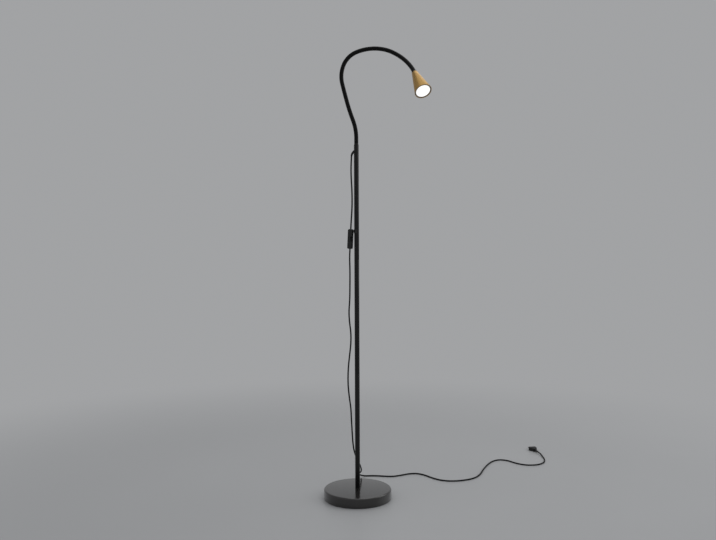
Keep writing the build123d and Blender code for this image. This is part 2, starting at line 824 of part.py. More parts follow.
with BuildPart() as switch_clip:
    with BuildSketch(Plane.XY.offset(clip_level - clip_height / 2)):
        Circle(pole_radius + clip_wall)
        Circle(pole_radius, mode=Mode.SUBTRACT)
        with BuildLine():
            mouth_reach = 2 * pole_diameter
            half_mouth = radians(clip_mouth / 2)
            upper_lip = (mouth_reach * cos(half_mouth), mouth_reach * sin(half_mouth))
            lower_lip = (mouth_reach * cos(half_mouth), -mouth_reach * sin(half_mouth))
            Polyline((0, 0), lower_lip, (mouth_reach, 0), upper_lip, close=True)
        make_face(mode=Mode.SUBTRACT)
    extrude(amount=clip_height)
    arm_start = -pole_radius - clip_wall / 2
    arm_end = switch_center[0] + switch_width / 3
    with BuildSketch(Plane.XY.offset(clip_level - clip_arm_height / 2)):
        with Locations(((arm_start + arm_end) / 2, 0)):
            Rectangle(arm_start - arm_end, clip_arm_width)
    extrude(amount=clip_arm_height)
    add(switch_block.part, mode=Mode.SUBTRACT)
save(switch_clip, "switch_clip")

# ---------------------------------------------------------------- cord
for name, route in (("cord_upper", cord_upper_route), ("cord_lower", cord_lower_route)):
    bends = corner_radii(route)
    cord_start = Vector(*route[0])
    with BuildPart() as cord:
        with BuildLine():
            cord_path = FilletPolyline(*route, radius=bends)
        with BuildSketch(Plane(origin=cord_start, z_dir=Vector(*route[1]) - cord_start)):
            Circle(cord_radius)
        sweep()
    save(cord, name)
    section_volume = cord_path.length * pi * cord_radius**2
    print(name, "length", round(cord_path.length, 1), "radii", [round(bend) for bend in bends])
    print(name, "volume", round(cord.part.volume), "section times length", round(section_volume))

# ---------------------------------------------------------------- plug
plug_start = Vector(*cord_lower_route[-1])
plug_direction = (plug_start - Vector(*cord_lower_route[-2])).normalized()
plug_side = Vector(0, 0, 1).cross(plug_direction)
plug_plane = Plane(origin=plug_start, x_dir=plug_direction, z_dir=(0, 0, 1))
plug_axis_plane = Plane(origin=plug_start, x_dir=plug_side, z_dir=plug_direction)
plug_back = plug_relief_length
plug_face = plug_back + plug_length
pin_rows = [(plug_pin_spacing / 2, 0), (-plug_pin_spacing / 2, 0)]
pin_root_radius = plug_sleeve_diameter / 2 - plug_sleeve_wall

with BuildPart() as plug_relief:
    with BuildSketch(plug_axis_plane):
        Circle(cord_radius + plug_relief_lip)
    with BuildSketch(plug_axis_plane.offset(plug_relief_length)):
        Circle(plug_relief_diameter / 2)
    loft()
save(plug_relief, "plug_relief")

with BuildPart() as plug_body:
    with BuildSketch(plug_plane.offset(-plug_start.Z)):
        with BuildLine():
            Polyline(
                (plug_back, plug_tail_width / 2),
                (plug_back + plug_shoulder, plug_width / 2),
                (plug_face, plug_face_width / 2),
                (plug_face, -plug_face_width / 2),
                (plug_back + plug_shoulder, -plug_width / 2),
                (plug_back, -plug_tail_width / 2),
                close=True,
            )
        make_face()
    extrude(amount=plug_thickness)
    upright = plug_body.edges().filter_by(Axis.Z)
    fillet(upright, plug_edge_radius)
    fillet(plug_body.faces().filter_by(Axis.Z).edges(), plug_face_radius)
    with BuildSketch(plug_axis_plane.offset(plug_face)):
        with Locations(*pin_rows):
            Circle(pin_root_radius)
    extrude(amount=-pin_root_depth, mode=Mode.SUBTRACT)
save(plug_body, "plug_body")

with BuildPart() as plug_pins:
    with BuildSketch(plug_axis_plane.offset(plug_face - pin_root_depth)):
        with Locations(*pin_rows):
            Circle(pin_root_radius)
    extrude(amount=plug_sleeve_length + pin_root_depth)
    with BuildSketch(plug_axis_plane.offset(plug_face + plug_sleeve_length)):
        with Locations(*pin_rows):
            Circle(plug_pin_diameter / 2)
    extrude(amount=plug_pin_length - plug_sleeve_length)
    tips = plug_pins.faces().filter_by(Axis(plug_start, plug_direction)).sort_by_distance(plug_start)
    fillet(tips[-2:].edges(), plug_pin_tip_radius)
save(plug_pins, "plug_pins")

with BuildPart() as plug_sleeves:
    with BuildSketch(plug_axis_plane.offset(plug_face)):
        with Locations(*pin_rows):
            Circle(plug_sleeve_diameter / 2)
            Circle(pin_root_radius, mode=Mode.SUBTRACT)
    extrude(amount=plug_sleeve_length)
save(plug_sleeves, "plug_sleeves")
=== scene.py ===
"""Looks of a gooseneck reading floor lamp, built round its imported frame.

Metres; +Z is up and -Y faces the camera.
"""

import json
import logging
from dataclasses import dataclass, field
from enum import Enum
from math import asin, cos, hypot, pi, radians, sin
from typing import Any, Callable, Iterable, Sequence

import bmesh
import bpy
from mathutils import Euler, Matrix, Vector


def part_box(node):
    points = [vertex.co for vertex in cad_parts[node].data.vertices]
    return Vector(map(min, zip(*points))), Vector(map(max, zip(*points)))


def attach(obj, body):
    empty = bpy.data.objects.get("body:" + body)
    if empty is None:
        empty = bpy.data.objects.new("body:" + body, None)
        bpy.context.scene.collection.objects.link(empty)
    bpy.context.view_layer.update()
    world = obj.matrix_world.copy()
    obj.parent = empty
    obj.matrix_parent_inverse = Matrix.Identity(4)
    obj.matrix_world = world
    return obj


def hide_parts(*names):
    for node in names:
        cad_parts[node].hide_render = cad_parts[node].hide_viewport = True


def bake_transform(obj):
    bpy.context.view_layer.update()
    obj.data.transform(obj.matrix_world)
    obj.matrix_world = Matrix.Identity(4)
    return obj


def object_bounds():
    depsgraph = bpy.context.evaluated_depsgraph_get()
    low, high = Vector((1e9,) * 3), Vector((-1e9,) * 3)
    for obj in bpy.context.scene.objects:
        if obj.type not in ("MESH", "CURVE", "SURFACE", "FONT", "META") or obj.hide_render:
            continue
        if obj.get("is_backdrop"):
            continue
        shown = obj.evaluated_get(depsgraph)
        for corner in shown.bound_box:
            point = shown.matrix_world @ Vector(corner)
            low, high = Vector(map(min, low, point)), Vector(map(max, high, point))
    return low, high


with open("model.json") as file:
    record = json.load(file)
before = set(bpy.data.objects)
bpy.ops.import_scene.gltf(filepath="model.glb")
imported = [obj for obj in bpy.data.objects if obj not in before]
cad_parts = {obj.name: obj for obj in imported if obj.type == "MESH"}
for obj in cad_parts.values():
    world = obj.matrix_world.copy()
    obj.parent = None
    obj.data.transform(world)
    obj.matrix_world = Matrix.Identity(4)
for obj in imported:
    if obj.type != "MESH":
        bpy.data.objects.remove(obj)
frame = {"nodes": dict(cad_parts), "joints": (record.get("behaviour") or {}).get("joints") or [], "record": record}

LOG = logging.getLogger("lamp")
MERGE_DISTANCE = 1e-6
RING_REACH = 1e-5
SMOOTH_ANGLE = 38.0
NEARLY = 0.9  # An edge that covers this share of a block runs along it.
UP = Vector((0, 0, 1))
ALONG_X = Matrix.Rotation(pi / 2, 4, "Y")
Colour = tuple[float, float, float]
Place = tuple[float, float, float]
Outline = Sequence[tuple[float, float]]
Shape, Vert, Edge, Face = bmesh.types.BMesh, bmesh.types.BMVert, bmesh.types.BMEdge, bmesh.types.BMFace
Ring = list[Edge]
Tree, Node = bpy.types.NodeTree, bpy.types.Node
Material, Object = bpy.types.Material, bpy.types.Object

# The cord's control points, as its solids have them: down from the pole's relief, through the switch,
# down behind the pole and over the floor to the plug.
CORD_POINTS = (
    (-0.016, 0.0, 1.1226), (-0.0179, 0.0, 1.0865), (-0.0172, -0.0025, 1.0495),
    (-0.0148, -0.0058, 1.0095), (-0.0143, -0.0064, 0.9675), (-0.0158, -0.0044, 0.9345),
    (-0.01802, 0.0, 0.9065), (-0.01913, 0.0, 0.88296), (-0.02217, 0.0, 0.81804),
    (-0.02357, 0.0, 0.788), (-0.0224, 0.002, 0.7445), (-0.0228, 0.0005, 0.6945),
    (-0.0234, -0.002, 0.6495), (-0.0266, -0.001, 0.6125), (-0.0248, 0.0015, 0.5775),
    (-0.02, 0.002, 0.5425), (-0.0202, 0.0, 0.5065), (-0.0246, -0.002, 0.4695),
    (-0.0296, -0.001, 0.4245), (-0.0306, 0.002, 0.3745), (-0.0268, 0.004, 0.3325),
    (-0.021, 0.006, 0.2925), (-0.0196, 0.01, 0.2525), (-0.0176, 0.019, 0.2135),
    (-0.0158, 0.034, 0.1755), (-0.012, 0.055, 0.1395), (-0.002, 0.085, 0.104),
    (0.0085, 0.12, 0.0735), (0.013, 0.152, 0.051), (0.0125, 0.181, 0.033),
    (0.0045, 0.1991, 0.0223), (0.0045, 0.2134, 0.0139), (0.0128, 0.2258, 0.0067),
    (0.0272, 0.233, 0.0025), (0.046, 0.2355, 0.0025), (0.068, 0.2345, 0.0025),
    (0.094, 0.229, 0.0025), (0.1255, 0.224, 0.0025), (0.158, 0.24, 0.0025),
    (0.1895, 0.2595, 0.0025), (0.2185, 0.2615, 0.0025), (0.244, 0.241, 0.0025),
    (0.2655, 0.208, 0.0025), (0.2935, 0.1765, 0.0025), (0.334, 0.1655, 0.0025),
    (0.379, 0.1765, 0.0025), (0.4195, 0.2015, 0.0025), (0.4465, 0.2465, 0.0025),
    (0.466, 0.303, 0.0025), (0.489, 0.3575, 0.0025), (0.5175, 0.4125, 0.0025),
    (0.551, 0.443, 0.0025), (0.5855, 0.4305, 0.0025), (0.6095, 0.388, 0.0025),
    (0.644, 0.362, 0.0025), (0.6855, 0.366, 0.0025), (0.718, 0.394, 0.0025),
    (0.7335, 0.44, 0.0025), (0.7365, 0.4835, 0.0025), (0.737, 0.5035, 0.0042),
    (0.735, 0.5225, 0.0065), (0.732, 0.5415, 0.0065),
)


class Body(Enum):
    """The frame's bodies that pieces ride on by name; the neck's own are numbered."""

    STAND = "stand"
    ROCKER = "rocker"


class Slot(Enum):
    """Material slots of the record."""

    FOOT_PAINT = "foot_paint"
    POLE_PAINT = "pole_paint"
    FOOT_IRON = "foot_iron"
    FOOT_RUBBER = "foot_rubber"
    ZINC_STEEL = "zinc_steel"
    NECK_SLEEVE = "neck_sleeve"
    SHADE_BRASS = "shade_brass"
    HOLDER_CERAMIC = "holder_ceramic"
    BULB_WHITE = "bulb_white"
    BULB_GLOW = "bulb_glow"
    CONTACT_BRASS = "contact_brass"
    SWITCH_PLASTIC = "switch_plastic"
    CORD_SHEATH = "cord_sheath"
    LEAD_SHEATH = "lead_sheath"
    PLUG_PLASTIC = "plug_plastic"


# ---------------- finishes
def feed(tree: Tree, node: Node, values: dict[str | int, Any]) -> None:
    """Sets or links a node's inputs.

    Args:
        tree: The node tree.
        node: The node.
        values: A constant, or the socket to link, for each input by name or number.
    """
    for socket, value in values.items():
        if isinstance(value, bpy.types.NodeSocket):
            tree.links.new(value, node.inputs[socket])
        else:
            node.inputs[socket].default_value = value


def add_node(tree: Tree, kind: str, values: dict[str | int, Any] | None = None, **settings: str) -> Node:
    """Adds a shader node.

    Args:
        tree: The node tree.
        kind: The node's type.
        values: What its inputs are set or linked to.
        settings: Settings of the node itself.

    Returns:
        The new node.
    """
    node = tree.nodes.new(kind)
    for name, setting in settings.items():
        setattr(node, name, setting)
    feed(tree, node, values or {})
    return node


@dataclass(frozen=True)
class Finish:
    """A surface: two near colours and a gloss that drift, and a fine relief."""

    dark: Colour
    light: Colour
    roughness: tuple[float, float]
    drift: float = 30.0
    grain: float = 1500.0
    relief: float = 0.00002
    metallic: float = 0.0
    specular: float = 0.5
    coat: float = 0.0
    coat_roughness: float = 0.12
    anisotropy: float = 0.0
    glow: float = 0.0
    stretch: tuple[float, float, float] = (1.0, 1.0, 1.0)
    drift_low: float = 0.3
    drift_high: float = 0.7
    drift_detail: float = 5.0
    grain_detail: float = 2.0

    def material(self, name: str, place: Matrix | None = None) -> Material:
        """Makes the shader.

        Args:
            name: The material's name.
            place: Where the pattern is centred and how it is turned, or None for the frame's own axes.

        Returns:
            The new material.
        """
        material = bpy.data.materials.new(name)
        material.use_nodes = True
        tree = material.node_tree
        mapping = self._mapping(tree, place)
        drift = self._noise(tree, mapping, self.drift, self.drift_detail)
        shades = {"Factor": drift, 6: (*self.dark, 1.0), 7: (*self.light, 1.0)}
        colour = add_node(tree, "ShaderNodeMix", shades, data_type="RGBA").outputs[2]
        ends = {"Value": drift, "From Min": self.drift_low, "From Max": self.drift_high}
        ends |= {"To Min": self.roughness[0], "To Max": self.roughness[1]}
        gloss = add_node(tree, "ShaderNodeMapRange", ends)
        grain = self._noise(tree, mapping, self.grain, self.grain_detail)
        bump = add_node(tree, "ShaderNodeBump", {"Distance": self.relief, "Height": grain})
        surface = {
            "Base Color": colour,
            "Roughness": gloss.outputs["Result"],
            "Normal": bump.outputs["Normal"],
            "Metallic": self.metallic,
            "Specular IOR Level": self.specular,
            "Coat Weight": self.coat,
            "Coat Roughness": self.coat_roughness,
            "Anisotropic": self.anisotropy,
            "Emission Strength": self.glow,
        }
        glowing = {"Emission Color": colour} if self.glow else {}
        feed(tree, tree.nodes["Principled BSDF"], surface | glowing)
        return material

    def _mapping(self, tree: Tree, place: Matrix | None) -> Node:
        """Adds the pattern's coordinates.

        Args:
            tree: The material's node tree.
            place: The pattern's own frame, or None.

        Returns:
            The mapping node that the patterns read.
        """
        coordinates = add_node(tree, "ShaderNodeTexCoord")
        values = {"Vector": coordinates.outputs["Object"], "Scale": self.stretch}
        if place is not None:
            values |= {"Location": place.to_translation(), "Rotation": place.to_euler()}
        return add_node(tree, "ShaderNodeMapping", values, vector_type="TEXTURE")

    def _noise(self, tree: Tree, mapping: Node, scale: float, detail: float) -> bpy.types.NodeSocket:
        """Adds a noise pattern.

        Args:
            tree: The material's node tree.
            mapping: The node that gives the coordinates.
            scale: Patches per metre.
            detail: Octaves of finer patches.

        Returns:
            The pattern's value.
        """
        values = {"Vector": mapping.outputs["Vector"], "Scale": scale, "Detail": detail}
        return add_node(tree, "ShaderNodeTexNoise", values).outputs["Fac"]


@dataclass(frozen=True)
class LitFinish(Finish):
    """A face that glows from inside and dims towards its edge."""

    lit_radius: float = 0.0212
    edge_radius: float = 0.0232
    edge_share: float = 0.16

    def material(self, name: str, place: Matrix | None = None) -> Material:
        """Makes the shader.

        Args:
            name: The material's name.
            place: The face's frame, its Z along the face's axis.

        Returns:
            The new material.
        """
        material = super().material(name, place)
        tree = material.node_tree
        shader = tree.nodes["Principled BSDF"]
        plain = shader.inputs["Base Color"].links[0].from_socket
        flat = {0: tree.nodes["Mapping"].outputs["Vector"], 1: (1.0, 1.0, 0.0)}
        across = add_node(tree, "ShaderNodeVectorMath", flat, operation="MULTIPLY")
        sideways = {0: across.outputs["Vector"]}
        distance = add_node(tree, "ShaderNodeVectorMath", sideways, operation="LENGTH")
        ends = {"Value": distance.outputs["Value"], "To Min": 1.0, "To Max": self.edge_share}
        ends |= {"From Min": self.lit_radius, "From Max": self.edge_radius}
        dimming = add_node(tree, "ShaderNodeMapRange", ends, interpolation_type="SMOOTHSTEP")
        scaled = {0: plain, "Scale": dimming.outputs["Result"]}
        dimmed = add_node(tree, "ShaderNodeVectorMath", scaled, operation="SCALE").outputs["Vector"]
        feed(tree, shader, {"Base Color": dimmed, "Emission Color": dimmed})
        return material


FINISHES: dict[Slot, Finish] = {
    Slot.FOOT_PAINT: Finish(
        (0.012, 0.011, 0.010), (0.018, 0.016, 0.015), (0.16, 0.22),
        specular=0.4, coat=0.85, grain=700.0, relief=6e-6,
    ),
    Slot.POLE_PAINT: Finish(
        (0.004, 0.004, 0.004), (0.007, 0.007, 0.007), (0.22, 0.30), specular=0.32, grain=900.0, relief=1e-5
    ),
    Slot.FOOT_IRON: Finish(
        (0.045, 0.043, 0.042), (0.090, 0.085, 0.080), (0.65, 0.85), grain=500.0, relief=0.0002
    ),
    Slot.FOOT_RUBBER: Finish((0.014, 0.014, 0.014), (0.024, 0.024, 0.023), (0.75, 0.9), relief=0.00005),
    Slot.ZINC_STEEL: Finish(
        (0.50, 0.51, 0.52), (0.66, 0.67, 0.68), (0.25, 0.42), metallic=1.0, drift=120.0
    ),
    Slot.NECK_SLEEVE: Finish(
        (0.003, 0.003, 0.003), (0.006, 0.006, 0.006), (0.36, 0.46), specular=0.12, grain=2500.0, relief=2e-5
    ),
    Slot.SHADE_BRASS: Finish(
        (0.45, 0.265, 0.082), (0.59, 0.375, 0.135), (0.32, 0.42),
        drift=60.0, grain=2200.0, relief=4e-6, metallic=1.0, anisotropy=0.5, stretch=(12.0, 12.0, 1.0),
    ),
    Slot.HOLDER_CERAMIC: Finish((0.70, 0.69, 0.64), (0.80, 0.79, 0.75), (0.45, 0.60), relief=0.00004),
    # Greyed from the bulb body's white: painted shade for the dark gap round the lit face.
    Slot.BULB_WHITE: Finish((0.36, 0.35, 0.32), (0.44, 0.43, 0.40), (0.35, 0.45)),
    Slot.BULB_GLOW: LitFinish(
        (0.90, 0.88, 0.86), (1.0, 0.98, 0.97), (0.15, 0.25), drift=260.0, grain=700.0, glow=0.9
    ),
    Slot.CONTACT_BRASS: Finish((0.62, 0.46, 0.20), (0.78, 0.62, 0.30), (0.25, 0.40), metallic=1.0),
    Slot.SWITCH_PLASTIC: Finish(
        (0.013, 0.014, 0.014), (0.019, 0.019, 0.018), (0.38, 0.48), specular=0.4, relief=8e-6
    ),
    Slot.CORD_SHEATH: Finish(
        (0.002, 0.002, 0.002), (0.005, 0.005, 0.005), (0.42, 0.54), specular=0.12, relief=6e-6
    ),
    Slot.LEAD_SHEATH: Finish((0.62, 0.62, 0.60), (0.74, 0.74, 0.72), (0.45, 0.60)),
    Slot.PLUG_PLASTIC: Finish(
        (0.005, 0.005, 0.005), (0.010, 0.010, 0.010), (0.42, 0.55), specular=0.3, grain=1700.0
    ),
}
# The rocker: a gloss of its own, and near black beyond the switch's plastic as painted shade for the recess it
# sits in.
ROCKER_GLOSS_AND_SHADE = Finish(
    (0.0015, 0.0015, 0.0015), (0.003, 0.003, 0.003), (0.14, 0.20), specular=0.2, relief=4e-6
)
FLOOR_FINISH = Finish(
    (0.37, 0.375, 0.38), (0.41, 0.415, 0.42), (0.34, 0.42), drift=1.6, grain=60.0, relief=0.0001
)


def finish_of(slot: Slot, place: Matrix | None = None) -> Material:
    """Gives a slot's material, made once plain and once turned, the turned one to the first place that it is
    given.

    Args:
        slot: The record's material slot.
        place: The pattern's own frame, or None.

    Returns:
        The material.
    """
    name = f"{slot.value}_finish" if place is None else f"{slot.value}_finish_turned"
    return bpy.data.materials.get(name) or FINISHES[slot].material(name, place)


# ---------------- mesh tools
def show(name: str, data: bpy.types.ID) -> Object:
    """Makes an object of its data and puts it in the scene.

    Args:
        name: The object's name.
        data: Its mesh, curve, light or camera.

    Returns:
        The new object, at the origin.
    """
    shown = bpy.data.objects.new(name, data)
    bpy.context.scene.collection.objects.link(shown)
    return shown


def only(kind: type, geometry: Iterable[Any]) -> list[Any]:
    """The items of one kind among mixed geometry."""
    return [item for item in geometry if isinstance(item, kind)]


def draw_ring(shape: Shape, rim: Ring, way: Vector) -> Ring:
    """Draws a ring of edges out by one stage.

    Args:
        shape: The shape so far.
        rim: The ring at its end.
        way: How far and which way.

    Returns:
        The new ring.
    """
    drawn = bmesh.ops.extrude_edge_only(shape, edges=rim)["geom"]
    verts = only(Vert, drawn)
    bmesh.ops.translate(shape, verts=verts, vec=way)
    return [edge for edge in only(Edge, drawn) if all(vert in verts for vert in edge.verts)]


def whole(shape: Shape) -> list[Any]:
    """All vertices, edges and faces of a shape."""
    return [*shape.verts, *shape.edges, *shape.faces]


def settle(shape: Shape) -> None:
    """Merges a shape's doubles, and then turns its faces outwards."""
    bmesh.ops.remove_doubles(shape, verts=shape.verts, dist=MERGE_DISTANCE)
    bmesh.ops.recalc_face_normals(shape, faces=shape.faces)


def lathe(outline: Outline, closed: bool = False, steps: int = 96) -> Shape:
    """Turns an outline round the Z axis.

    Args:
        outline: Points of radius and height.
        closed: Whether the last point joins the first, as for a ring.
        steps: Faces round the axis.

    Returns:
        The turned shape, its faces pointing outwards.
    """
    shape = bmesh.new()
    points = [shape.verts.new((radius, 0.0, height)) for radius, height in outline]
    nexts = points[1:] + points[:1] if closed else points[1:]
    lines = [shape.edges.new(pair) for pair in zip(points, nexts)]
    middle, geometry = (0, 0, 0), points + lines
    bmesh.ops.spin(shape, geom=geometry, cent=middle, axis=UP, angle=2 * pi, steps=steps, use_merge=True)
    settle(shape)
    return shape


def round_ring(shape: Shape, radius: float, height: float, width: float, segments: int = 4) -> None:
    """Rounds one ring of edges of a turned shape.

    Args:
        shape: The turned shape.
        radius: The ring's radius.
        height: The ring's height.
        width: How far the rounding reaches.
        segments: Faces across the rounding.
    """

    def on_ring(vert: Vert) -> bool:
        """Whether a vertex lies on the ring."""
        off = abs(hypot(vert.co.x, vert.co.y) - radius)
        return off < RING_REACH and abs(vert.co.z - height) < RING_REACH

    round_edges(shape, lambda edge: all(on_ring(vert) for vert in edge.verts), width, segments)


def round_edges(shape: Shape, chosen: Callable[[Edge], bool], width: float, segments: int = 4) -> None:
    """Rounds the edges that a test chooses.

    Args:
        shape: The shape.
        chosen: The test for an edge.
        width: How far the rounding reaches.
        segments: Faces across the rounding.
    """
    edges = [edge for edge in shape.edges if chosen(edge)]
    bmesh.ops.bevel(
        shape, geom=edges, offset=width, segments=segments, profile=0.5, affect="EDGES", material=-1
    )


def as_piece(
    shape: Shape, name: str, slot: Slot, place: Matrix | None = None, turned: bool = False
) -> Object:
    """Makes a finished object of a shape.

    Args:
        shape: The shape, in its own frame.
        name: The piece's name.
        slot: The finish.
        place: Where the shape goes in the row frame, or None.
        turned: Whether the finish's pattern goes by the shape's own frame.

    Returns:
        The object, at the origin, with its place in its mesh.
    """
    if place is not None:
        bmesh.ops.transform(shape, matrix=place, verts=shape.verts)
    mesh = bpy.data.meshes.new(name)
    shape.to_mesh(mesh)
    shape.free()
    mesh.shade_smooth()
    mesh.set_sharp_from_angle(angle=radians(SMOOTH_ANGLE))
    mesh.materials.append(finish_of(slot, place if turned else None))
    piece = show(name, mesh)
    LOG.info("piece %s: %d faces", name, len(mesh.polygons))
    return piece


def stand_in(
    shape: Shape,
    name: str,
    node: str,
    slot: Slot,
    body: str = Body.STAND.value,
    place: Matrix | None = None,
    turned: bool = False,
) -> Object:
    """Makes a shape the piece that a solid is shown as, riding on the solid's body.

    Args:
        shape: The shape, in its own frame.
        name: The piece's name.
        node: The solid that it replaces.
        slot: The finish.
        body: The body that it rides on.
        place: Where the shape goes in the row frame, or None.
        turned: Whether the finish's pattern goes by the shape's own frame.

    Returns:
        The piece.
    """
    piece = as_piece(shape, name, slot, place, turned)
    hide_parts(node)
    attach(piece, body)
    return piece


def facing(origin: Vector, along: Vector, upward: Vector = UP) -> Matrix:
    """A frame whose Z runs along a direction.

    Args:
        origin: The frame's origin.
        along: The direction of its Z axis.
        upward: A direction that its Y axis leans to.

    Returns:
        The frame as a matrix.
    """
    z_axis = along.normalized()
    x_axis = upward.cross(z_axis).normalized()
    y_axis = z_axis.cross(x_axis)
    return Matrix.Translation(origin) @ Matrix((x_axis, y_axis, z_axis)).transposed().to_4x4()


# ---------------- foot and pole
@dataclass
class Foot:
    """The round foot's pressed cover."""

    edge_radius: float = 0.005
    wall: float = 0.0012
    bolt_radius: float = 0.0053
    hem_radius: float = 0.0004

    def build(self) -> None:
        """Builds the cover from the size that its solid has."""
        low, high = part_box("foot_cover")
        radius = (high.x - low.x) / 2
        outline = [
            (self.bolt_radius, high.z),
            (radius, high.z),
            (radius, low.z),
            (radius - self.wall, low.z),
            (radius - self.wall, high.z - self.wall),
            (self.bolt_radius, high.z - self.wall),
        ]
        shape = lathe(outline, closed=True, steps=160)
        round_ring(shape, radius, high.z, self.edge_radius, segments=8)
        round_ring(shape, radius, low.z, self.hem_radius, segments=2)
        inner, under = radius - self.wall, high.z - self.wall
        round_ring(shape, inner, under, self.edge_radius - self.wall, segments=4)
        stand_in(shape, "foot_cover_pressed", "foot_cover", Slot.FOOT_PAINT)


@dataclass
class Pole:
    """The three screwed tubes and the socket on top, with a hairline at each seam."""

    wall: float = 0.001
    seam: float = 0.00025
    collar_edge: float = 0.0015
    collar_rise: float = 0.008
    collar_rounding: float = 0.7
    neck_radius: float = 0.00675
    spigot_depth: float = 0.010
    bore: float = 0.0024
    cup_radius: float = 0.00695
    pivot_rise: float = 0.0250
    cup_steps: int = 8

    def build(self) -> None:
        """Builds the tubes and the socket's collar."""
        for node in ("pole_lower", "pole_middle", "pole_upper"):
            low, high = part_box(node)
            radius = (high.x - low.x) / 2
            outline = [
                (radius, low.z),
                (radius, high.z),
                (radius - self.wall, high.z),
                (radius - self.wall, low.z),
            ]
            shape = lathe(outline, closed=True, steps=64)
            round_ring(shape, radius, low.z, self.seam, segments=2)
            round_ring(shape, radius, high.z, self.seam, segments=2)
            stand_in(shape, f"{node}_tube", node, Slot.POLE_PAINT)
        self._socket(radius, high.z)

    def _socket(self, radius: float, top: float) -> None:
        """Builds the socket that the neck rises from, with the round cup that its first link swings in.

        Args:
            radius: The pole's outer radius.
            top: The height of the pole's top.
        """
        _, socket_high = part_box("neck_socket")
        pivot = top + self.pivot_rise
        floor_angle = asin(self.bore / self.cup_radius)
        lip_angle = asin(self.neck_radius / self.cup_radius)
        span = lip_angle - floor_angle
        angles = [floor_angle + span * step / self.cup_steps for step in range(self.cup_steps)]
        cup = [(self.cup_radius * sin(angle), pivot - self.cup_radius * cos(angle)) for angle in angles]
        outline = [
            (self.neck_radius, socket_high.z),
            (self.neck_radius, top + self.collar_rise),
            (radius, top + self.collar_edge),
            (radius, top),
            (radius - self.wall, top),
            (radius - self.wall, top - self.spigot_depth),
            (self.bore, top - self.spigot_depth),
            *cup,
        ]
        shape = lathe(outline, closed=True, steps=64)
        rounding = self.collar_edge * self.collar_rounding
        round_ring(shape, radius, top + self.collar_edge, rounding, segments=4)
        stand_in(shape, "neck_socket_collar", "neck_socket", Slot.POLE_PAINT)


# ---------------- neck
@dataclass(frozen=True)
class Bend:
    """One even arc of the neck's line, from a pivot to the next."""

    start: Vector
    heading: Vector
    axis: Vector
    angle: float
    radius: float

    @classmethod
    def between(cls, start: Vector, end: Vector, heading: Vector) -> "Bend":
        """The arc that leaves one point along a heading and meets another.

        Args:
            start: Where it starts.
            end: Where it ends.
            heading: Its direction at the start.

        Returns:
            The arc.
        """
        chord = end - start
        half = heading.angle(chord)
        axis = heading.cross(chord).normalized()
        return cls(start, heading, axis, 2 * half, chord.length / 2 / sin(half))

    @property
    def centre(self) -> Vector:
        """The middle of the arc's circle."""
        return self.start + self.axis.cross(self.heading) * self.radius

    def point(self, share: float) -> Vector:
        """The point at a share of the arc."""
        turn = Matrix.Rotation(self.angle * share, 3, self.axis)
        return self.centre + turn @ (self.start - self.centre)

    def direction(self, share: float) -> Vector:
        """The heading at a share of the arc."""
        return Matrix.Rotation(self.angle * share, 3, self.axis) @ self.heading


